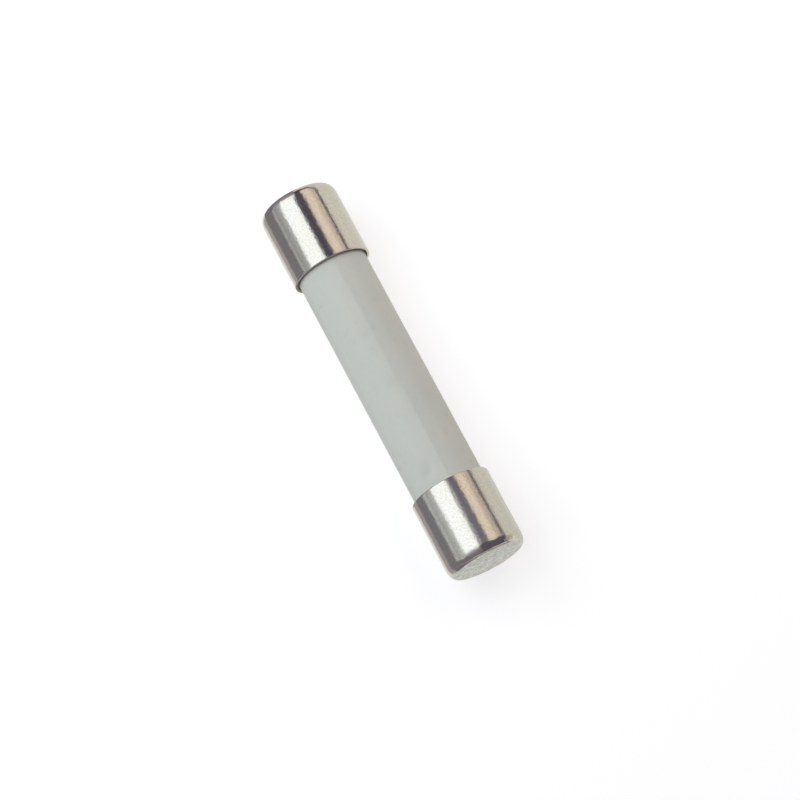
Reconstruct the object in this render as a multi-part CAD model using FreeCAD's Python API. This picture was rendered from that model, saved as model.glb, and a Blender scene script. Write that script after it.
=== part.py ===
"""Ceramic cartridge fuse of the 6.3 x 32 mm size.

A sand-filled ceramic tube holds a wire wound on a yarn core, and a plated brass cap closes each end.

The fuse's axis is X, the origin is on that axis halfway between the caps, and Z is up.  The left cap is
at -X.  Profiles are drawn in two lengths: u is the distance in from an end's outer contact face, and r is
the distance from the axis.
"""

import FreeCAD
import Part

import math
import os

# Outside, in mm
OVERALL_LENGTH = 32.0
CAP_DIAMETER = 6.3
CAP_LENGTH = 6.25
TUBE_DIAMETER = 5.6

# Drawn brass cap
CAP_WALL = 0.25
CAP_EDGE_RADIUS = 0.45
CAP_INNER_EDGE_RADIUS = 0.2
CAP_MOUTH_RADIUS = 0.06
CAP_LEAD_IN_DEPTH = 0.3
CAP_LEAD_IN_FLARE = 0.08

# Tube
TUBE_BORE = 3.9
TUBE_OUTER_EDGE_RADIUS = 0.3
TUBE_BORE_CHAMFER = 0.15

# What is stacked between a cap's floor and the tube's end
SOLDER_DEPTH = 0.45
SOLDER_SURFACE_GAP = 0.03
SOLDER_FOOT_RADIUS = 2.6
SOLDER_TOP_RADIUS = 1.3
SOLDER_SAG = 0.62
WASHER_THICKNESS = 0.4
WASHER_SIDE_CLEARANCE = 0.05
WASHER_HOLE_CLEARANCE = 0.05

# Cement that bonds a cap to the tube
CEMENT_SETBACK_FROM_MOUTH = 0.4
CEMENT_SETBACK_FROM_TUBE_END = 0.6

# Fusible winding on its core
CORE_DIAMETER = 0.9
WIRE_DIAMETER = 0.2
WIRE_CLEARANCE = 0.005
WINDING_PITCH = 0.9
WINDING_END_ABOVE_CAP_FLOOR = 0.15
SAND_CLEARANCE = 0.02

# Worked out from the sizes above
HALF_LENGTH = OVERALL_LENGTH / 2
CAP_RADIUS = CAP_DIAMETER / 2
CAP_BORE_RADIUS = CAP_RADIUS - CAP_WALL
TUBE_RADIUS = TUBE_DIAMETER / 2
TUBE_BORE_RADIUS = TUBE_BORE / 2
CAP_FLOOR_U = CAP_WALL
WASHER_U = CAP_FLOOR_U + SOLDER_DEPTH
TUBE_END_U = WASHER_U + WASHER_THICKNESS
TUBE_LENGTH = OVERALL_LENGTH - 2 * TUBE_END_U
WINDING_END_U = CAP_FLOOR_U + WINDING_END_ABOVE_CAP_FLOOR
WINDING_LENGTH = OVERALL_LENGTH - 2 * WINDING_END_U
HELIX_RADIUS = CORE_DIAMETER / 2 + WIRE_CLEARANCE + WIRE_DIAMETER / 2
WINDING_RADIUS = HELIX_RADIUS + WIRE_DIAMETER / 2

ORIGIN = FreeCAD.Vector(0, 0, 0)
AXIS = FreeCAD.Vector(1, 0, 0)
SIDEWAYS = FreeCAD.Vector(0, 1, 0)
SIDES = {"left": -1, "right": 1}
FULL_TURN = 360
QUARTER_TURN = 90

# Directions in a profile, as (u, r)
OUT_TO_THE_FACE = (-1, 0)
IN_TO_THE_MOUTH = (1, 0)
OUT_TO_THE_BARREL = (0, 1)


def point(side, u, r):
    """The point of the profile plane at u in from one end's outer face, and r from the axis."""
    return FreeCAD.Vector(side * (HALF_LENGTH - u), r, 0)


def line(start, end):
    return Part.LineSegment(start, end).toShape()


def quarter_arc(side, centre, radius, start, end):
    """A quarter circle about centre, from the start direction to the end direction, each as (u, r)."""
    half_way = tuple(math.sqrt(0.5) * (a + b) for a, b in zip(start, end))
    directions = (start, half_way, end)
    on_arc = [point(side, centre[0] + radius * du, centre[1] + radius * dr) for du, dr in directions]
    return Part.Arc(*on_arc).toShape()


def turned(edges):
    """The solid that a closed outline of edges sweeps in a full turn about the axis."""
    return Part.Face(Part.Wire(edges)).revolve(ORIGIN, AXIS, FULL_TURN)


def turned_polygon(side, corners):
    """The solid that a polygon of (u, r) corners sweeps in a full turn about the axis."""
    points = [point(side, u, r) for u, r in corners]
    return turned([line(a, b) for a, b in zip(points, points[1:] + points[:1])])


def sleeve(outer_radius, inner_radius, length):
    """A plain tube along the axis, centred on the origin."""
    base = FreeCAD.Vector(-length / 2, 0, 0)
    outer = Part.makeCylinder(outer_radius, length, base, AXIS)
    return outer.cut(Part.makeCylinder(inner_radius, length, base, AXIS))


def rims(shape, radius):
    """The circular edges of that radius."""
    circles = [edge for edge in shape.Edges if isinstance(edge.Curve, Part.Circle)]
    return [edge for edge in circles if math.isclose(edge.Curve.Radius, radius)]


def end_cap(side):
    """A deep-drawn cup: a flat contact face, a rounded edge, and a mouth flared to start on the tube."""
    edge, inner_edge, mouth = CAP_EDGE_RADIUS, CAP_INNER_EDGE_RADIUS, CAP_MOUTH_RADIUS
    edge_centre = (edge, CAP_RADIUS - edge)
    mouth_centre = (CAP_LENGTH - mouth, CAP_RADIUS - mouth)
    inner_edge_centre = (CAP_FLOOR_U + inner_edge, CAP_BORE_RADIUS - inner_edge)
    face_centre = point(side, 0, 0)
    face_rim = point(side, 0, CAP_RADIUS - edge)
    barrel_start = point(side, edge, CAP_RADIUS)
    barrel_end = point(side, CAP_LENGTH - mouth, CAP_RADIUS)
    lip_outer = point(side, CAP_LENGTH, CAP_RADIUS - mouth)
    lip_inner = point(side, CAP_LENGTH, CAP_BORE_RADIUS + CAP_LEAD_IN_FLARE)
    bore_start = point(side, CAP_LENGTH - CAP_LEAD_IN_DEPTH, CAP_BORE_RADIUS)
    bore_end = point(side, CAP_FLOOR_U + inner_edge, CAP_BORE_RADIUS)
    floor_rim = point(side, CAP_FLOOR_U, CAP_BORE_RADIUS - inner_edge)
    floor_centre = point(side, CAP_FLOOR_U, 0)
    return turned([
        line(face_centre, face_rim),
        quarter_arc(side, edge_centre, edge, OUT_TO_THE_FACE, OUT_TO_THE_BARREL),
        line(barrel_start, barrel_end),
        quarter_arc(side, mouth_centre, mouth, OUT_TO_THE_BARREL, IN_TO_THE_MOUTH),
        line(lip_outer, lip_inner),
        line(lip_inner, bore_start),
        line(bore_start, bore_end),
        quarter_arc(side, inner_edge_centre, inner_edge, OUT_TO_THE_BARREL, OUT_TO_THE_FACE),
        line(floor_rim, floor_centre),
        line(floor_centre, face_centre),
    ])


def solder_pool(side):
    """Solder on a cap's floor, drawn up in a hollow curve towards the winding, whose end is set in it."""
    surface_u = WASHER_U - SOLDER_SURFACE_GAP
    socket_radius = WINDING_RADIUS + WIRE_CLEARANCE
    foot = point(side, CAP_FLOOR_U, SOLDER_FOOT_RADIUS)
    rim_top = point(side, surface_u, SOLDER_TOP_RADIUS)
    hollow_u = surface_u - SOLDER_SAG * (surface_u - CAP_FLOOR_U)
    hollow_r = SOLDER_FOOT_RADIUS - SOLDER_SAG * (SOLDER_FOOT_RADIUS - SOLDER_TOP_RADIUS)
    hollow = point(side, hollow_u, hollow_r)
    socket_mouth = point(side, surface_u, socket_radius)
    socket_corner = point(side, WINDING_END_U, socket_radius)
    socket_floor = point(side, WINDING_END_U, 0)
    floor_centre = point(side, CAP_FLOOR_U, 0)
    return turned([
        line(floor_centre, foot),
        Part.Arc(foot, hollow, rim_top).toShape(),
        line(rim_top, socket_mouth),
        line(socket_mouth, socket_corner),
        line(socket_corner, socket_floor),
        line(socket_floor, floor_centre),
    ])


def fibre_washer(side):
    """A disc between the solder and the tube's end, which keeps the sand in and centres the winding."""
    hole = WINDING_RADIUS + WASHER_HOLE_CLEARANCE
    outer = CAP_BORE_RADIUS - WASHER_SIDE_CLEARANCE
    corners = [(WASHER_U, hole), (WASHER_U, outer), (TUBE_END_U, outer), (TUBE_END_U, hole)]
    return turned_polygon(side, corners)


def cap_cement(side):
    """A thin ring of cement between a cap's bore and the tube, which stops short of the cap's mouth."""
    start_u = TUBE_END_U + CEMENT_SETBACK_FROM_TUBE_END
    end_u = CAP_LENGTH - CEMENT_SETBACK_FROM_MOUTH
    inner, outer = TUBE_RADIUS, CAP_BORE_RADIUS
    return turned_polygon(side, [(start_u, inner), (start_u, outer), (end_u, outer), (end_u, inner)])


def ceramic_tube():
    """The insulating body, with its outer end edges rounded and its bore chamfered."""
    tube = sleeve(TUBE_RADIUS, TUBE_BORE_RADIUS, TUBE_LENGTH)
    tube = tube.makeFillet(TUBE_OUTER_EDGE_RADIUS, rims(tube, TUBE_RADIUS))
    return tube.makeChamfer(TUBE_BORE_CHAMFER, rims(tube, TUBE_BORE_RADIUS))


def element_core():
    """The heat-resistant yarn that carries the winding from one solder pool to the other."""
    base = FreeCAD.Vector(-WINDING_LENGTH / 2, 0, 0)
    return Part.makeCylinder(CORE_DIAMETER / 2, WINDING_LENGTH, base, AXIS)


def fuse_wire():
    """The fusible wire: one open helix along the whole core, with each end inside a solder pool."""
    end_inset = WIRE_DIAMETER / 2
    helix = Part.makeHelix(WINDING_PITCH, WINDING_LENGTH - 2 * end_inset, HELIX_RADIUS)
    helix_start = FreeCAD.Vector(HELIX_RADIUS, 0, 0)
    along_wire = FreeCAD.Vector(0, 2 * math.pi * HELIX_RADIUS, WINDING_PITCH)
    section = Part.Wire(Part.makeCircle(WIRE_DIAMETER / 2, helix_start, along_wire))
    make_solid, frenet = True, True
    wire = Part.Wire(helix.Edges).makePipeShell([section], make_solid, frenet)
    wire.rotate(ORIGIN, SIDEWAYS, QUARTER_TURN)
    wire.translate(FreeCAD.Vector(end_inset - WINDING_LENGTH / 2, 0, 0))
    return wire


def quartz_sand():
    """The arc-quenching filler, which fills the bore round the winding."""
    return sleeve(TUBE_BORE_RADIUS, WINDING_RADIUS + SAND_CLEARANCE, TUBE_LENGTH)


def all_parts():
    """Every piece of the fuse, by name."""
    parts = {
        "ceramic_tube": ceramic_tube(),
        "element_core": element_core(),
        "fuse_wire": fuse_wire(),
        "quartz_sand": quartz_sand(),
    }
    for name, side in SIDES.items():
        parts[f"{name}_end_cap"] = end_cap(side)
        parts[f"{name}_cap_cement"] = cap_cement(side)
        parts[f"{name}_fibre_washer"] = fibre_washer(side)
        parts[f"{name}_solder_pool"] = solder_pool(side)
    return parts


os.makedirs("parts", exist_ok=True)
for node, shape in all_parts().items():
    shape.exportStep(f"parts/{node}.step")
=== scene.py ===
"""Looks of a ceramic cartridge fuse: a satin ceramic tube between two nickel-plated caps, on a pale floor.

Lengths are in metres, in the CAD frame: the fuse's axis is X, and Z is up.  Profiles are lists of (x, r),
where r is the distance from the axis.
"""

import math

import bmesh
import bpy
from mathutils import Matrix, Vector, noise


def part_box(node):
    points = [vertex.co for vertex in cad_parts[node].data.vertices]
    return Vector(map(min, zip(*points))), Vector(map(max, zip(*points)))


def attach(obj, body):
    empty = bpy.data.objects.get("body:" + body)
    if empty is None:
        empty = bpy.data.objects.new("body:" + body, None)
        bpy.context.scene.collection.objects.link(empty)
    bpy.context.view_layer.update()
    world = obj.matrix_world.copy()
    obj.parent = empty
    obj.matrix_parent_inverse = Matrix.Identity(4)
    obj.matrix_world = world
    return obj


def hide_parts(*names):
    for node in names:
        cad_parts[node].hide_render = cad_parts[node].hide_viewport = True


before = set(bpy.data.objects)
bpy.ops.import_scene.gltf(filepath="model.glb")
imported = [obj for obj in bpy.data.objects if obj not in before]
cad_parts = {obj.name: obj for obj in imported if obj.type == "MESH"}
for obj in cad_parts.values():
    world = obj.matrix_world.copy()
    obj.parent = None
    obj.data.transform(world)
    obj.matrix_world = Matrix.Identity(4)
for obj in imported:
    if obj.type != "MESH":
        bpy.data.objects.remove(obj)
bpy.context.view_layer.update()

MM = 0.001
FULL_TURN = 2 * math.pi
SIDES = {"left": -1, "right": 1}

# Sizes that the frame gives
CAP_LOW, CAP_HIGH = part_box("right_end_cap")
HALF_LENGTH = CAP_HIGH.x
CAP_MOUTH_X = CAP_LOW.x
CAP_RADIUS = CAP_HIGH.z
CAP_BORE_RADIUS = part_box("right_cap_cement")[1].z
CAP_WALL = CAP_RADIUS - CAP_BORE_RADIUS
TUBE_HALF_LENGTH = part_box("ceramic_tube")[1].x
TUBE_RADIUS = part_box("ceramic_tube")[1].z
BORE_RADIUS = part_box("quartz_sand")[1].z
SAND_HALF_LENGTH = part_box("quartz_sand")[1].x
CORE_HALF_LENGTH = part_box("element_core")[1].x
CORE_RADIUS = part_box("element_core")[1].z
WINDING_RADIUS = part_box("fuse_wire")[1].z

# Edges, as on the CAD parts, but a cap's outer edge eases into its barrel over a little more length
CAP_EDGE_DEPTH = 0.42 * MM
CAP_EDGE_LENGTH = 0.80 * MM
CAP_INNER_EDGE_RADIUS = 0.2 * MM
CAP_MOUTH_RADIUS = 0.06 * MM
CAP_FLARE_DEPTH = 0.3 * MM
CAP_FLARE = 0.08 * MM
TUBE_EDGE_RADIUS = 0.3 * MM
TUBE_CHAMFER = 0.15 * MM

# Unevenness of the outer surfaces: waves, and dents in a cap's edge that lean towards its end face
CAP_WAVER = 0.004 * MM
TUBE_WAVER = 0.012 * MM
EDGE_DENT_DEPTH = 0.02 * MM
EDGE_DENT_SIZE = 0.45 * MM
EDGE_DENT_LEAN = 0.5
NOISE_DIRECTION = Vector((1.0, 2.3, -1.7))

# Cement: its gap to the cap and the tube, its ragged front's place in from the mouth, and the rags' size
CEMENT_GAP = 0.002 * MM
CEMENT_SHALLOWEST = 0.02 * MM
CEMENT_DEEPEST = 0.20 * MM
CEMENT_RAG_SIZE = 0.9 * MM
CEMENT_RAG_CONTRAST = 1.6
CEMENT_FLARE_SHARE = 0.6

# Winding, as on the CAD part, and its core, which is twisted from strands round a straight one
WIRE_RADIUS = 0.1 * MM
WINDING_PITCH = 0.9 * MM
OUTER_STRANDS = 6
STRAND_RADIUS = CORE_RADIUS / 3
STRAND_PITCH = 3.2 * MM

# Sand
SAND_CLEARANCE = 0.02 * MM
GRAIN_SIZE = 0.22 * MM
GRAIN_DEPTH = 0.07 * MM

# Fineness of the meshes, and the radius below which a point is on the axis
ON_AXIS = 1e-9
SEGMENTS = 256
WIRE_SIDES = 12
COIL_STEPS_PER_TURN = 36

# Camera: angles in degrees, and where the fuse's middle lies in the picture
CAMERA_AZIMUTH = 63.06
CAMERA_ELEVATION = 71.3
CAMERA_DISTANCE = 233.3 * MM
CAMERA_SHIFT_RIGHT = 0.713 * MM
CAMERA_SHIFT_DOWN = 1.615 * MM
LENS_MM = 139.35
SENSOR_MM = 36

# Curved cards: their distances from the axis, and the stretches of the axis that each cap's barrel reflects
CARD_RADIUS = 0.160
MIDDLE_RADIUS = 0.165
OUTER_RADIUS = 0.170
LEFT_CAP_SEES = (-0.210, -0.048)
RIGHT_CAP_SEES = (-0.048, 0.030)
CARD_STEPS = 12

# Flat cards on the floor
FLAG_Z = -CAP_RADIUS + 0.05 * MM
FLAG_REACH = 3.0
FLAG_EDGE_X = 19.5 * MM

# Light
SOFTBOX_COLOUR = (0.83, 0.905, 1.0)
WARM_COLOUR = (1.0, 0.90, 0.82)
BACKDROP_COLOUR = (1.0, 0.99, 0.96)
DARK_SKY = (0.089, 0.077, 0.113)
PALE_SKY = (0.9, 0.9, 0.9)
LAMP_SIZE = 0.7

# Floor: its tone, its glow in reflections, and how much more it glows to the camera and as soft light
FLOOR_HALF_SIZE = 3.0
FLOOR_COLOUR = (0.56, 0.55, 0.54)
FLOOR_GLOW = 0.56
MORE_GLOW_TO_CAMERA = 0.10
MORE_GLOW_AS_LIGHT = -0.30


# ---------------------------------------------------------------- meshes

def arc(centre, radius, start, end, steps, length=None):
    """Points (x, r) on a circle about centre, from one angle in degrees to another, both ends included.

    A length makes it an ellipse, which reaches that far along the axis.
    """
    turns = [math.radians(start + (end - start) * i / steps) for i in range(steps + 1)]
    along = length or radius
    return [(centre[0] + along * math.cos(t), centre[1] + radius * math.sin(t)) for t in turns]


def straight(start, end, steps):
    """Evenly spaced points (x, r) between two points, both ends left out."""
    shares = [i / steps for i in range(1, steps)]
    return [tuple(a + (b - a) * s for a, b in zip(start, end)) for s in shares]


def on_side(sign, profile):
    """The right side's profile, or its mirror image for the left."""
    return [(sign * x, r) for x, r in profile]


def smooth_piece(bm, name):
    """Makes a bmesh a smooth-shaded object whose faces point outwards."""
    bmesh.ops.recalc_face_normals(bm, faces=bm.faces)
    mesh = bpy.data.meshes.new(name)
    bm.to_mesh(mesh)
    bm.free()
    mesh.shade_smooth()
    piece = bpy.data.objects.new(name, mesh)
    bpy.context.scene.collection.objects.link(piece)
    return piece


def lathed(name, profile, closed):
    """A mesh of revolution about X: an open profile starts and ends on the axis, a closed one is a ring."""
    bm = bmesh.new()
    turns = [FULL_TURN * i / SEGMENTS for i in range(SEGMENTS)]
    rings = []
    for x, r in profile:
        if r < ON_AXIS:
            rings.append([bm.verts.new((x, 0, 0))])
        else:
            rings.append([bm.verts.new((x, r * math.sin(t), r * math.cos(t))) for t in turns])
    pairs = list(zip(rings, rings[1:]))
    if closed:
        pairs.append((rings[-1], rings[0]))
    for here, there in pairs:
        for i in range(SEGMENTS):
            j = (i + 1) % SEGMENTS
            corners = [ring[k % len(ring)] for ring, k in ((here, i), (here, j), (there, j), (there, i))]
            bm.faces.new(list(dict.fromkeys(corners)))
    return smooth_piece(bm, name)


def coiled(name, reach, coil_radius, wire_radius, pitch, phases):
    """Round wires that coil about X from -reach to reach, one for each phase, each closed at both ends."""
    bm = bmesh.new()
    turns = 2 * reach / pitch
    steps = math.ceil(turns * COIL_STEPS_PER_TURN)
    rise = pitch / FULL_TURN
    corners = [FULL_TURN * j / WIRE_SIDES for j in range(WIRE_SIDES)]
    for phase in phases:
        rings = []
        for i in range(steps + 1):
            turned = FULL_TURN * turns * i / steps
            sine, cosine = math.sin(turned + phase), math.cos(turned + phase)
            outward = Vector((0, sine, -cosine))
            forward = Vector((rise, coil_radius * cosine, coil_radius * sine))
            across = forward.normalized().cross(outward)
            centre = Vector((rise * turned - reach, 0, 0)) + coil_radius * outward
            offsets = [wire_radius * (math.cos(t) * outward + math.sin(t) * across) for t in corners]
            rings.append([bm.verts.new(centre + offset) for offset in offsets])
        for here, there in zip(rings, rings[1:]):
            for j in range(WIRE_SIDES):
                k = (j + 1) % WIRE_SIDES
                bm.faces.new((here[j], here[k], there[k], there[j]))
        bm.faces.new(rings[0])
        bm.faces.new(rings[-1])
    return smooth_piece(bm, name)


def cap_profile():
    """The right cap's outline, from its contact face's middle, round its mouth, to its floor's middle."""
    edge, inner, mouth = CAP_EDGE_DEPTH, CAP_INNER_EDGE_RADIUS, CAP_MOUTH_RADIUS
    floor_x = HALF_LENGTH - CAP_WALL
    face_middle = (HALF_LENGTH, 0)
    face_rim = (HALF_LENGTH, CAP_RADIUS - edge)
    edge_centre = (HALF_LENGTH - CAP_EDGE_LENGTH, CAP_RADIUS - edge)
    edge_arc = arc(edge_centre, edge, 0, 90, steps=20, length=CAP_EDGE_LENGTH)
    mouth_arc = arc((CAP_MOUTH_X + mouth, CAP_RADIUS - mouth), mouth, 90, 180, steps=6)
    lip = (CAP_MOUTH_X, CAP_BORE_RADIUS + CAP_FLARE)
    bore_start = (CAP_MOUTH_X + CAP_FLARE_DEPTH, CAP_BORE_RADIUS)
    inner_arc = arc((floor_x - inner, CAP_BORE_RADIUS - inner), inner, 90, 0, steps=4)
    floor_middle = (floor_x, 0)
    profile = [face_middle] + straight(face_middle, face_rim, steps=24) + edge_arc
    profile += straight(edge_arc[-1], mouth_arc[0], steps=56) + mouth_arc
    profile += [lip] + straight(lip, bore_start, steps=3) + [bore_start]
    profile += straight(bore_start, inner_arc[0], steps=12) + inner_arc
    profile += straight(inner_arc[-1], floor_middle, steps=6) + [floor_middle]
    return profile


def tube_profile():
    """The tube's outline: a closed ring of its outside, its rounded ends and its chamfered bore."""
    edge = TUBE_EDGE_RADIUS
    right_arc = arc((TUBE_HALF_LENGTH - edge, TUBE_RADIUS - edge), edge, 90, 0, steps=8)
    left_arc = on_side(-1, reversed(right_arc))
    chamfer_start = (TUBE_HALF_LENGTH, BORE_RADIUS + TUBE_CHAMFER)
    chamfer_end = (TUBE_HALF_LENGTH - TUBE_CHAMFER, BORE_RADIUS)
    right_chamfer = [chamfer_start, chamfer_end]
    left_chamfer = on_side(-1, reversed(right_chamfer))
    outside = straight(left_arc[-1], right_arc[0], steps=160)
    bore = straight(chamfer_end, left_chamfer[0], steps=24)
    return left_arc + outside + right_arc + right_chamfer + bore + left_chamfer


def waver(piece, depth, along, around, seed):
    """Sinks the surface by up to depth in smooth noise, with bumps that long along the axis and round it."""
    offset = seed * NOISE_DIRECTION
    for vertex in piece.data.vertices:
        x, y, z = vertex.co
        height = noise.noise(Vector((x / along, y / around, z / around)) + offset)
        share = 0.5 + 0.5 * max(-1.0, min(1.0, height))
        radial = Vector((0, y, z))
        if radial.length > ON_AXIS:
            vertex.co -= radial.normalized() * depth * share


def wear_edge(cap, seed):
    """Sinks a cap's rounded edge in shallow dents, as from knocks in a bin of parts."""
    edge_start = HALF_LENGTH - CAP_EDGE_LENGTH
    for vertex in cap.data.vertices:
        x, y, z = vertex.co
        along = (abs(x) - edge_start) / CAP_EDGE_LENGTH
        if along > 0 and math.hypot(y, z) > CAP_RADIUS - CAP_EDGE_DEPTH:
            height = noise.noise(Vector((y / EDGE_DENT_SIZE, z / EDGE_DENT_SIZE, seed)))
            share = math.sin(math.pi * min(along, 1.0)) * max(0.0, height)
            outward = Vector((math.copysign(EDGE_DENT_LEAN, x), y / CAP_RADIUS, z / CAP_RADIUS))
            vertex.co -= outward * EDGE_DENT_DEPTH * share


# ---------------------------------------------------------------- shader nodes

def new_material(name):
    """A material with a Principled shader, and its object coordinates in millimetres."""
    material = bpy.data.materials.new(name)
    material.use_nodes = True
    tree = material.node_tree
    shader = tree.nodes["Principled BSDF"]
    place = tree.nodes.new("ShaderNodeTexCoord")
    scale = tree.nodes.new("ShaderNodeVectorMath")
    scale.operation = "SCALE"
    scale.inputs["Scale"].default_value = 1 / MM
    tree.links.new(place.outputs["Object"], scale.inputs[0])
    return material, tree, shader, scale.outputs[0]


def feed(tree, socket, value):
    """Gives a socket its value, which is another socket, a number or a colour."""
    if isinstance(value, bpy.types.NodeSocket):
        tree.links.new(value, socket)
    elif isinstance(value, tuple):
        socket.default_value = (*value, 1)
    else:
        socket.default_value = value


def stretched(tree, place, factors):
    """Coordinates multiplied by factors: a small factor draws a texture out along that axis."""
    node = tree.nodes.new("ShaderNodeVectorMath")
    node.operation = "MULTIPLY"
    node.inputs[1].default_value = factors
    tree.links.new(place, node.inputs[0])
    return node.outputs[0]


def noise_texture(tree, place, scale, detail, roughness=0.5):
    """Noise from 0 to 1, with scale bumps to a millimetre."""
    node = tree.nodes.new("ShaderNodeTexNoise")
    node.inputs["Scale"].default_value = scale
    node.inputs["Detail"].default_value = detail
    node.inputs["Roughness"].default_value = roughness
    tree.links.new(place, node.inputs["Vector"])
    return node.outputs["Fac"]


def ramp(tree, value, first, last):
    """A ramp between two stops, each of them a (place, grey or colour)."""
    node = tree.nodes.new("ShaderNodeValToRGB")
    for element, (place, colour) in zip(node.color_ramp.elements, (first, last)):
        rgb = colour if isinstance(colour, tuple) else (colour, colour, colour)
        element.position = place
        element.color = (*rgb, 1)
    tree.links.new(value, node.inputs["Fac"])
    return node.outputs["Color"]


def maths(tree, operation, *values):
    """A Math node's result: each value is a socket or a number."""
    node = tree.nodes.new("ShaderNodeMath")
    node.operation = operation
    for socket, value in zip(node.inputs, values):
        feed(tree, socket, value)
    return node.outputs[0]


def smooth_step(tree, value, low, high, top):
    """0 below low, rising smoothly to top at high and beyond."""
    node = tree.nodes.new("ShaderNodeMapRange")
    node.interpolation_type = "SMOOTHSTEP"
    tree.links.new(value, node.inputs["Value"])
    node.inputs["From Min"].default_value = low
    node.inputs["From Max"].default_value = high
    node.inputs["To Max"].default_value = top
    return node.outputs["Result"]


def blend(tree, share, first, second):
    """first and second mixed by share: each is a socket, a number or a colour."""
    node = tree.nodes.new("ShaderNodeMix")
    node.data_type = "RGBA"
    factor, colour_a, colour_b = node.inputs[0], node.inputs[6], node.inputs[7]
    feed(tree, factor, share)
    feed(tree, colour_a, first)
    feed(tree, colour_b, second)
    return node.outputs[2]


def bump(tree, shader, height, distance, under=None):
    """A bump of that height in metres, laid over the one under it."""
    node = tree.nodes.new("ShaderNodeBump")
    node.inputs["Distance"].default_value = distance
    tree.links.new(height, node.inputs["Height"])
    if under is not None:
        tree.links.new(under, node.inputs["Normal"])
    tree.links.new(node.outputs["Normal"], shader.inputs["Normal"])
    return node.outputs["Normal"]


def from_middle(tree, place):
    """The distance from the fuse's middle along its axis, in millimetres."""
    axes = tree.nodes.new("ShaderNodeSeparateXYZ")
    tree.links.new(place, axes.inputs[0])
    return maths(tree, "ABSOLUTE", axes.outputs["X"])


# ---------------------------------------------------------------- materials

def end_face_share(tree, place):
    """1 on a cap's flat end face and 0 on its barrel."""
    face = HALF_LENGTH / MM
    return smooth_step(tree, from_middle(tree, place), face - 0.08, face - 0.02, top=1.0)


def nickel_plate():
    """Bright nickel over drawn brass: drawing streaks, stains, pits and specks, and a pressed end face."""
    material, tree, shader, place = new_material("nickel_plate")
    pale, warm = (0.672, 0.630, 0.560), (0.682, 0.630, 0.525)
    pit, speck, worn_face = (0.50, 0.45, 0.39), (0.42, 0.33, 0.24), (0.44, 0.41, 0.37)
    on_face = end_face_share(tree, place)
    streaks = noise_texture(tree, stretched(tree, place, (0.12, 1.0, 1.0)), 9.0, detail=4.0)
    stains = noise_texture(tree, place, 0.9, detail=3.0)
    pits = noise_texture(tree, place, 8.0, detail=2.0)
    specks = noise_texture(tree, place, 7.0, detail=1.0)
    orange_peel = noise_texture(tree, place, 4.2, detail=3.0, roughness=0.6)
    pressing = noise_texture(tree, place, 3.6, detail=5.0, roughness=0.65)

    metal = ramp(tree, stains, (0.32, pale), (0.62, warm))
    pitted = blend(tree, ramp(tree, pits, (0.40, 0.35), (0.60, 0.0)), metal, pit)
    specked = blend(tree, ramp(tree, specks, (0.74, 0.0), (0.80, 0.35)), pitted, speck)
    worn = blend(tree, ramp(tree, pressing, (0.38, 0.95), (0.58, 0.0)), specked, worn_face)
    feed(tree, shader.inputs["Base Color"], blend(tree, on_face, specked, worn))

    barrel_roughness = ramp(tree, streaks, (0.3, 0.13), (0.7, 0.18))
    face_roughness = ramp(tree, pressing, (0.3, 0.38), (0.7, 0.22))
    feed(tree, shader.inputs["Roughness"], blend(tree, on_face, barrel_roughness, face_roughness))
    feed(tree, shader.inputs["Metallic"], 1.0)

    under = bump(tree, shader, streaks, 0.0008 * MM)
    under = bump(tree, shader, orange_peel, 0.010 * MM, under)
    under = bump(tree, shader, specks, 0.001 * MM, under)
    bump(tree, shader, maths(tree, "MULTIPLY", pressing, on_face), 0.005 * MM, under)
    return material


def mouth_line_of_stain_and_shade(tree, place):
    """How much cement stain and painted shade darken the tube, in a thin ragged line along each cap's mouth.
    """
    reach, raggedness = 0.12, 0.10
    rough = noise_texture(tree, place, 5.0, detail=3.0)
    ragged_x = maths(tree, "MULTIPLY_ADD", rough, raggedness, from_middle(tree, place))
    start = CAP_MOUTH_X / MM - reach + raggedness / 2
    return smooth_step(tree, ragged_x, start, start + reach, top=0.75)


def ceramic():
    """Satin off-white ceramic: faint clouds, a fine grain, faint smudges, and cement stain with painted
    shade at the caps.
    """
    material, tree, shader, place = new_material("ceramic")
    cool, warm = (0.682, 0.692, 0.612), (0.707, 0.705, 0.616)
    # The last of these tones is partly cement stain and partly painted shade, for the line at each cap's
    # mouth.
    grey, brown, cement_and_shade_tone = (0.58, 0.56, 0.50), (0.50, 0.44, 0.35), (0.34, 0.27, 0.25)
    clouds = noise_texture(tree, place, 0.35, detail=3.0)
    mottle = noise_texture(tree, place, 2.6, detail=4.0)
    smudges = noise_texture(tree, place, 1.1, detail=3.0, roughness=0.6)
    grain = noise_texture(tree, place, 16.0, detail=4.0, roughness=0.6)

    base = ramp(tree, clouds, (0.35, cool), (0.65, warm))
    mottled = blend(tree, ramp(tree, mottle, (0.35, 0.0), (0.65, 0.08)), base, grey)
    smudged = blend(tree, ramp(tree, smudges, (0.60, 0.0), (0.76, 0.22)), mottled, brown)
    # Painted shade: the dark line along each cap's mouth is partly cement stain and partly painted shade of
    # the gap under the lip.
    marked_and_shaded = blend(tree, mouth_line_of_stain_and_shade(tree, place), smudged, cement_and_shade_tone)
    feed(tree, shader.inputs["Base Color"], marked_and_shaded)
    feed(tree, shader.inputs["Roughness"], ramp(tree, grain, (0.3, 0.50), (0.7, 0.62)))
    bump(tree, shader, grain, 0.004 * MM)
    return material


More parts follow.
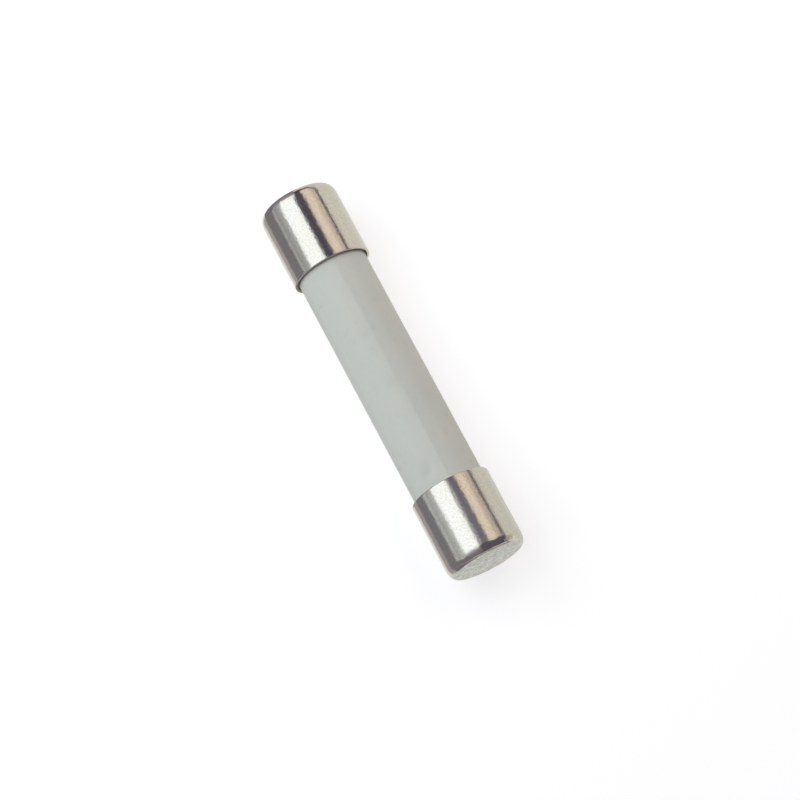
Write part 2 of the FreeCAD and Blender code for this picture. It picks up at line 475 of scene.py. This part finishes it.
def grained(name, dark, light, scale, roughness, depth, metallic=0.0):
    """A plain material of two tones, with a grain of scale bumps to a millimetre and depth metres deep."""
    material, tree, shader, place = new_material(name)
    grain = noise_texture(tree, place, scale, detail=5.0, roughness=0.6)
    smoothest, roughest = roughness - 0.08, roughness + 0.08
    feed(tree, shader.inputs["Base Color"], ramp(tree, grain, (0.35, dark), (0.65, light)))
    feed(tree, shader.inputs["Roughness"], ramp(tree, grain, (0.3, smoothest), (0.7, roughest)))
    feed(tree, shader.inputs["Metallic"], metallic)
    bump(tree, shader, grain, depth)
    return material


def cap_cement():
    return grained("cement", (0.24, 0.20, 0.155), (0.44, 0.38, 0.30), 8.0, 0.85, 0.02 * MM)


def tin_solder():
    tones = (0.52, 0.53, 0.54), (0.66, 0.67, 0.68)
    return grained("solder", *tones, scale=3.0, roughness=0.35, depth=0.004 * MM, metallic=1.0)


def vulcanised_fibre():
    return grained("fibre", (0.30, 0.12, 0.07), (0.45, 0.20, 0.12), 7.0, 0.75, 0.01 * MM)


def quartz_sand():
    return grained("sand", (0.62, 0.56, 0.46), (0.88, 0.85, 0.78), 5.0, 0.8, 0.05 * MM)


def glass_yarn():
    return grained("yarn", (0.66, 0.65, 0.60), (0.86, 0.85, 0.80), 9.0, 0.8, 0.02 * MM)


def tinned_wire():
    tones = (0.60, 0.58, 0.54), (0.78, 0.76, 0.72)
    return grained("wire", *tones, scale=6.0, roughness=0.25, depth=0.002 * MM, metallic=1.0)


def glow(name, colour, strength):
    """A material that only gives light."""
    material = bpy.data.materials.new(name)
    material.use_nodes = True
    tree = material.node_tree
    tree.nodes.clear()
    light = tree.nodes.new("ShaderNodeEmission")
    feed(tree, light.inputs["Color"], colour)
    feed(tree, light.inputs["Strength"], strength)
    output = tree.nodes.new("ShaderNodeOutputMaterial")
    tree.links.new(light.outputs[0], output.inputs["Surface"])
    return material


# ---------------------------------------------------------------- pieces

def install(piece, material, node):
    """Gives a piece its material, and puts it on the fuse's one body in a CAD node's stead."""
    piece.data.materials.append(material)
    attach(piece, "root")
    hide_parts(node)


def make_caps():
    plate = nickel_plate()
    for side, seed in (("left", 3.7), ("right", 8.1)):
        cap = lathed(f"{side}_cap_shell", on_side(SIDES[side], cap_profile()), closed=False)
        waver(cap, CAP_WAVER, along=2.2 * MM, around=1.3 * MM, seed=seed)
        wear_edge(cap, seed)
        install(cap, plate, f"{side}_end_cap")


def make_tube():
    tube = lathed("tube_body", tube_profile(), closed=True)
    waver(tube, TUBE_WAVER, along=3.0 * MM, around=2.5 * MM, seed=5.5)
    install(tube, ceramic(), "ceramic_tube")


def cement_profile(back_x):
    """The right cement ring's outline, whose front fills the flare of the cap's mouth."""
    inner, outer = TUBE_RADIUS + CEMENT_GAP, CAP_BORE_RADIUS - CEMENT_GAP
    flare_outer = CAP_BORE_RADIUS + CEMENT_FLARE_SHARE * CAP_FLARE
    front_x, flare_x = CAP_MOUTH_X + CEMENT_SHALLOWEST, CAP_MOUTH_X + CAP_FLARE_DEPTH
    profile = [(front_x, inner), (front_x, 0.5 * (inner + flare_outer)), (front_x, flare_outer)]
    profile += [(flare_x, outer)] + straight((flare_x, outer), (back_x, outer), steps=12) + [(back_x, outer)]
    profile += [(back_x, inner)] + straight((back_x, inner), (flare_x, inner), steps=12) + [(flare_x, inner)]
    return profile


def make_cement():
    """Each cap's ring of cement, whose ragged front shows in the gap at the cap's mouth."""
    cement = cap_cement()
    outer = CAP_BORE_RADIUS - CEMENT_GAP
    for side, seed in (("left", 1.9), ("right", 6.4)):
        low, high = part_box(f"{side}_cap_cement")
        back_x = max(abs(low.x), abs(high.x))
        ring = lathed(f"{side}_cement_ring", on_side(SIDES[side], cement_profile(back_x)), closed=True)
        for vertex in ring.data.vertices:
            x, y, z = vertex.co
            if abs(x) < CAP_MOUTH_X + CAP_FLARE_DEPTH - CEMENT_GAP:
                height = noise.noise(Vector((seed, y / CEMENT_RAG_SIZE, z / CEMENT_RAG_SIZE)))
                share = 0.5 + 0.5 * max(-1.0, min(1.0, CEMENT_RAG_CONTRAST * height))
                depth = CEMENT_SHALLOWEST + share * (CEMENT_DEEPEST - CEMENT_SHALLOWEST)
                narrowing = 1.0 - share * max(0.0, 1.0 - outer / math.hypot(y, z))
                vertex.co = (SIDES[side] * (CAP_MOUTH_X + depth), y * narrowing, z * narrowing)
        install(ring, cement, f"{side}_cap_cement")


def make_core():
    """The yarn core: strands twisted round a straight one."""
    yarn = glass_yarn()
    reach = CORE_HALF_LENGTH - STRAND_RADIUS
    phases = [FULL_TURN * i / OUTER_STRANDS for i in range(OUTER_STRANDS)]
    strands = coiled("core_strands", reach, 2 * STRAND_RADIUS, STRAND_RADIUS, STRAND_PITCH, phases)
    heart = coiled("core_heart", reach, 0, STRAND_RADIUS, STRAND_PITCH, [0])
    for piece in (strands, heart):
        install(piece, yarn, "element_core")


def make_winding():
    """The fusible wire, wound over the core."""
    reach, coil_radius = CORE_HALF_LENGTH - WIRE_RADIUS, WINDING_RADIUS - WIRE_RADIUS
    winding = coiled("wire_winding", reach, coil_radius, WIRE_RADIUS, WINDING_PITCH, [0])
    install(winding, tinned_wire(), "fuse_wire")


def make_sand():
    """The packed sand round the winding: its outside and its bore are as rough as its grains."""
    reach, outer, inner = SAND_HALF_LENGTH, BORE_RADIUS, WINDING_RADIUS + SAND_CLEARANCE
    profile = [(-reach, outer)] + straight((-reach, outer), (reach, outer), steps=200) + [(reach, outer)]
    profile += [(reach, inner)] + straight((reach, inner), (-reach, inner), steps=100) + [(-reach, inner)]
    fill = lathed("sand_fill", profile, closed=True)
    for vertex in fill.data.vertices:
        radial = Vector((0, vertex.co.y, vertex.co.z))
        into_the_sand = -1 if radial.length > 0.5 * (inner + outer) else 1
        share = 0.5 + 0.5 * noise.noise(vertex.co / GRAIN_SIZE)
        vertex.co += into_the_sand * GRAIN_DEPTH * share * radial.normalized()
    install(fill, quartz_sand(), "quartz_sand")


def paint_ends():
    """Gives the CAD model's solder and washers, which stay as they are, their materials."""
    solder, fibre = tin_solder(), vulcanised_fibre()
    for side in SIDES:
        for node, material in ((f"{side}_solder_pool", solder), (f"{side}_fibre_washer", fibre)):
            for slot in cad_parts[node].material_slots:
                slot.material = material


# ---------------------------------------------------------------- camera

def make_camera():
    """The viewing angle: from above, over the right cap's end, a little to one side."""
    azimuth, elevation = math.radians(CAMERA_AZIMUTH), math.radians(CAMERA_ELEVATION)
    back = Vector((
        math.sin(azimuth) * math.cos(elevation),
        -math.cos(azimuth) * math.cos(elevation),
        math.sin(elevation),
    ))
    right = Vector((math.cos(azimuth), math.sin(azimuth), 0))
    up = back.cross(right)
    camera = bpy.data.objects.new("camera", bpy.data.cameras.new("camera"))
    bpy.context.scene.collection.objects.link(camera)
    camera.data.lens = LENS_MM
    camera.data.sensor_width = SENSOR_MM
    camera.data.clip_start = 0.01
    camera.data.clip_end = 20
    camera.location = CAMERA_DISTANCE * back + CAMERA_SHIFT_RIGHT * right - CAMERA_SHIFT_DOWN * up
    camera.rotation_mode = "QUATERNION"
    camera.rotation_quaternion = (-back).to_track_quat("-Z", "Y")
    bpy.context.scene.camera = camera


# ---------------------------------------------------------------- studio

def studio_piece(mesh, material):
    """A card of the studio, which the camera doesn't see and which casts no shadow."""
    mesh.materials.append(material)
    piece = bpy.data.objects.new(mesh.name, mesh)
    bpy.context.scene.collection.objects.link(piece)
    piece.visible_camera = False
    piece.visible_shadow = False
    return piece


def card(name, angles, stretch, colour, strength=1.0, radius=CARD_RADIUS):
    """A card curved about the fuse's axis, seen only in reflections and by its light.

    angles are its edges in degrees, counted from straight up, with positive angles towards +Y, and stretch
    is where it starts and ends along the axis.
    """
    mesh = bpy.data.meshes.new(name)
    verts = []
    for i in range(CARD_STEPS + 1):
        turn = math.radians(angles[0] + (angles[1] - angles[0]) * i / CARD_STEPS)
        verts += [(x, radius * math.sin(turn), radius * math.cos(turn)) for x in stretch]
    faces = [(2 * i, 2 * i + 1, 2 * i + 3, 2 * i + 2) for i in range(CARD_STEPS)]
    mesh.from_pydata(verts, [], faces)
    studio_piece(mesh, glow(name, colour, strength))


def make_softbox():
    """The large light over the -Y side, which fades out beyond the right cap."""
    angles = (-57.0, -11.0)
    card("softbox_far", (-55.6, -8.7), LEFT_CAP_SEES, SOFTBOX_COLOUR, 1.75)
    card("softbox_near", angles, (-0.048, 0.008), SOFTBOX_COLOUR, 1.75)
    fade_ends = (0.008, 0.020, 0.034, 0.050, 0.068, 0.092)
    first_strength, each_next = 1.38, 0.72
    for i, stretch in enumerate(zip(fade_ends, fade_ends[1:])):
        card(f"softbox_end_{i + 1}", angles, stretch, SOFTBOX_COLOUR, first_strength * each_next ** i)
    card("softbox_fade", (-11.0, -3.0), (-0.048, 0.02), SOFTBOX_COLOUR, 0.66)
    card("softbox_front", (-57.5, -8.7), (0.092, 0.40), (0.25, 0.245, 0.28))


def make_sky():
    """The dim strip overhead, and the darkness beyond the right cap."""
    card("zenith", (-12.0, 19.3), (-0.045, 0.02), (0.22, 0.22, 0.29), radius=MIDDLE_RADIUS)
    card("sky_front", (-8.7, 60.0), (0.03, 0.40), (0.135, 0.122, 0.165), radius=OUTER_RADIUS)


def make_warm_side():
    """The warm light over the +Y side and the pale backdrop below it, with a dark gap between."""
    card("warm_far", (18.9, 42.8), LEFT_CAP_SEES, WARM_COLOUR, 1.03)
    card("warm_near", (19.1, 43.0), RIGHT_CAP_SEES, WARM_COLOUR, 1.03)
    card("warm_edge_far", (42.8, 56.7), LEFT_CAP_SEES, WARM_COLOUR, 0.79)
    card("warm_edge_near", (43.0, 58.9), (-0.048, 0.014), WARM_COLOUR, 0.71)
    card("backdrop_far", (65.0, 91.0), LEFT_CAP_SEES, BACKDROP_COLOUR, 0.87)
    card("backdrop_edge_near", (66.2, 71.5), RIGHT_CAP_SEES, BACKDROP_COLOUR, 0.58)
    card("backdrop_near", (71.5, 91.0), RIGHT_CAP_SEES, BACKDROP_COLOUR, 0.80)
    card("backdrop_front", (69.3, 91.0), (0.030, 0.13), BACKDROP_COLOUR, 0.50)


def make_wall():
    """The grey wall on the -Y side, from the softbox down to the floor."""
    bands = (
        ("wall_high_far", (-70.0, -54.0), LEFT_CAP_SEES, (0.49, 0.53, 0.57)),
        ("wall_high_near", (-70.0, -54.0), (-0.048, 0.065), (0.62, 0.67, 0.72)),
        ("wall_middle_far", (-79.4, -70.0), LEFT_CAP_SEES, (0.39, 0.43, 0.48)),
        ("wall_middle_near", (-79.7, -70.0), (-0.048, 0.05), (0.48, 0.53, 0.59)),
        ("wall_low_far", (-86.5, -79.4), LEFT_CAP_SEES, (0.61, 0.64, 0.67)),
        ("wall_low_near", (-88.7, -79.7), RIGHT_CAP_SEES, (0.65, 0.71, 0.77)),
    )
    for name, angles, stretch, colour in bands:
        card(name, angles, stretch, colour, radius=MIDDLE_RADIUS)
    card("wall_front", (-91.0, -54.0), (0.0, 0.40), (0.22, 0.21, 0.255), radius=OUTER_RADIUS)


def flag(name, corners, colour):
    """A flat card, seen only in sharp reflections."""
    mesh = bpy.data.meshes.new(name)
    mesh.from_pydata(corners, [], [tuple(range(len(corners)))])
    piece = studio_piece(mesh, glow(name, colour, 1.0))
    piece.visible_diffuse = False


def floor_flag(name, x_span, y_span, colour):
    """A rectangle that lies on the floor."""
    (x_from, x_to), (y_from, y_to) = x_span, y_span
    outline = ((x_from, y_from), (x_to, y_from), (x_to, y_to), (x_from, y_to))
    flag(name, [(x, y, FLAG_Z) for x, y in outline], colour)


def upright_flag(name, x, y_span, z_span, colour):
    """A rectangle that stands across the fuse's axis."""
    (y_from, y_to), (z_from, z_to) = y_span, z_span
    outline = ((y_from, z_from), (y_to, z_from), (y_to, z_to), (y_from, z_to))
    flag(name, [(x, y, z) for y, z in outline], colour)


def make_dark_flags():
    """Dark cards that the barrels' -Y side, the left cap's lip and the caps' rounded edges reflect, some as
    painted floor shade.
    """
    edge_x, side_y, near_y = FLAG_EDGE_X, -9.0 * MM, -8.0 * MM
    near_x, nearest_x = 42.0 * MM, 80.0 * MM
    near_corners = ((edge_x, near_y), (near_x, near_y), (near_x, 33.0 * MM), (edge_x, 0))
    floor_flag("side_flag", (-FLAG_REACH, edge_x), (-FLAG_REACH, side_y), (0.247, 0.250, 0.298))
    # Painted shade: the two mid-grey strips next to the fuse stand for the floor's shade beside its -Y side.
    floor_flag("side_floor_shade_far", (-edge_x, 0), (side_y, -5.5 * MM), (0.505, 0.50, 0.525))
    floor_flag("side_floor_shade_near", (0, edge_x), (side_y, -5.3 * MM), (0.455, 0.45, 0.485))
    floor_flag("far_flag", (-FLAG_REACH, -edge_x), (side_y, 1.5 * MM), (0.236, 0.208, 0.290))
    flag("near_flag", [(x, y, FLAG_Z) for x, y in near_corners], (0.165, 0.147, 0.205))
    floor_flag("near_flag_side", (edge_x, nearest_x), (-FLAG_REACH, near_y), (0.25, 0.235, 0.28))
    # Painted shade: this card stands for the shaded floor under the tube's left end, as the left cap's lip
    # reflects it.
    floor_flag("lip_floor_shade", (-9.7 * MM, -6.5 * MM), (-5.5 * MM, 0), (0.32, 0.30, 0.30))
    upright_flag("far_wall", -0.290, (-0.250, -0.010), (-0.003, 0.300), (0.37, 0.35, 0.40))


def make_pale_flags():
    """Pale cards that the barrels' +Y side, the left cap's edge and the right cap's end face reflect, two
    greyer ones as painted floor shade.
    """
    floor_flag("pale_flag_far", (-FLAG_REACH, 0), (5.5 * MM, FLAG_REACH), (0.83, 0.85, 0.83))
    floor_flag("pale_flag_near", (0, 19.0 * MM), (5.1 * MM, FLAG_REACH), (0.77, 0.79, 0.77))
    # Painted shade: this greyer strip stands for the floor's shade beside the right cap's +Y side.
    floor_flag("pale_floor_shade_near", (0, 16.0 * MM), (3.5 * MM, 5.1 * MM), (0.60, 0.62, 0.60))
    # Painted shade: this cool grey card stands for the fuse's own shade on the floor before the right cap's
    # end face, which reflects it.
    floor_flag("end_floor_shade", (16.2 * MM, 19.4 * MM), (-5.3 * MM, 5.1 * MM), (0.79, 0.84, 0.85))
    upright_flag("front_wall", 0.420, (-0.400, 0.400), (-0.003, 0.060), (0.80, 0.80, 0.80))
    upright_flag("pale_wall", -0.290, (0.010, 0.400), (-0.003, 0.080), (0.83, 0.85, 0.83))


def make_lamp(name, place, power, colour):
    """A large soft lamp that points at the fuse and isn't seen in reflections."""
    data = bpy.data.lights.new(name, "AREA")
    data.shape = "DISK"
    data.size = LAMP_SIZE
    data.energy = power
    data.color = colour
    lamp = bpy.data.objects.new(name, data)
    bpy.context.scene.collection.objects.link(lamp)
    lamp.location = place
    lamp.rotation_mode = "QUATERNION"
    lamp.rotation_quaternion = (-Vector(place)).to_track_quat("-Z", "Y")
    lamp.visible_glossy = False
    lamp.visible_camera = False


def make_floor():
    """A pale matt floor that glows a little, so that it stays white under soft light."""
    size, z = FLOOR_HALF_SIZE, -CAP_RADIUS
    mesh = bpy.data.meshes.new("floor")
    corners = [(-size, -size, z), (size, -size, z), (size, size, z), (-size, size, z)]
    mesh.from_pydata(corners, [], [(0, 1, 2, 3)])
    material = bpy.data.materials.new("floor")
    material.use_nodes = True
    tree = material.node_tree
    shader = tree.nodes["Principled BSDF"]
    feed(tree, shader.inputs["Base Color"], FLOOR_COLOUR)
    feed(tree, shader.inputs["Roughness"], 0.9)
    feed(tree, shader.inputs["Specular IOR Level"], 0.1)
    feed(tree, shader.inputs["Emission Color"], (1, 1, 1))
    path = tree.nodes.new("ShaderNodeLightPath")
    to_camera, as_light = path.outputs["Is Camera Ray"], path.outputs["Is Diffuse Ray"]
    glow_seen = maths(tree, "MULTIPLY_ADD", to_camera, MORE_GLOW_TO_CAMERA, FLOOR_GLOW)
    glow_given = maths(tree, "MULTIPLY_ADD", as_light, MORE_GLOW_AS_LIGHT, glow_seen)
    feed(tree, shader.inputs["Emission Strength"], glow_given)
    mesh.materials.append(material)
    floor = bpy.data.objects.new("floor", mesh)
    bpy.context.scene.collection.objects.link(floor)


def make_world():
    """A dark room that looks pale to the camera."""
    world = bpy.data.worlds.new("studio")
    bpy.context.scene.world = world
    world.use_nodes = True
    tree = world.node_tree
    tree.nodes.clear()
    dark = tree.nodes.new("ShaderNodeBackground")
    feed(tree, dark.inputs["Color"], DARK_SKY)
    pale = tree.nodes.new("ShaderNodeBackground")
    feed(tree, pale.inputs["Color"], PALE_SKY)
    path = tree.nodes.new("ShaderNodeLightPath")
    mix = tree.nodes.new("ShaderNodeMixShader")
    output = tree.nodes.new("ShaderNodeOutputWorld")
    tree.links.new(path.outputs["Is Camera Ray"], mix.inputs[0])
    tree.links.new(dark.outputs[0], mix.inputs[1])
    tree.links.new(pale.outputs[0], mix.inputs[2])
    tree.links.new(mix.outputs[0], output.inputs["Surface"])


def make_studio():
    make_softbox()
    make_sky()
    make_warm_side()
    make_wall()
    make_dark_flags()
    make_pale_flags()
    make_lamp("key", (-0.05, -0.20, 0.47), power=1.42, colour=(0.97, 1.0, 0.97))
    make_lamp("fill", (0.05, 0.51, 0.18), power=0.70, colour=(1.0, 0.97, 0.92))
    make_floor()
    make_world()


make_camera()
make_caps()
make_tube()
make_cement()
paint_ends()
make_sand()
make_core()
make_winding()
make_studio()
bpy.context.scene.view_settings.view_transform = "Standard"
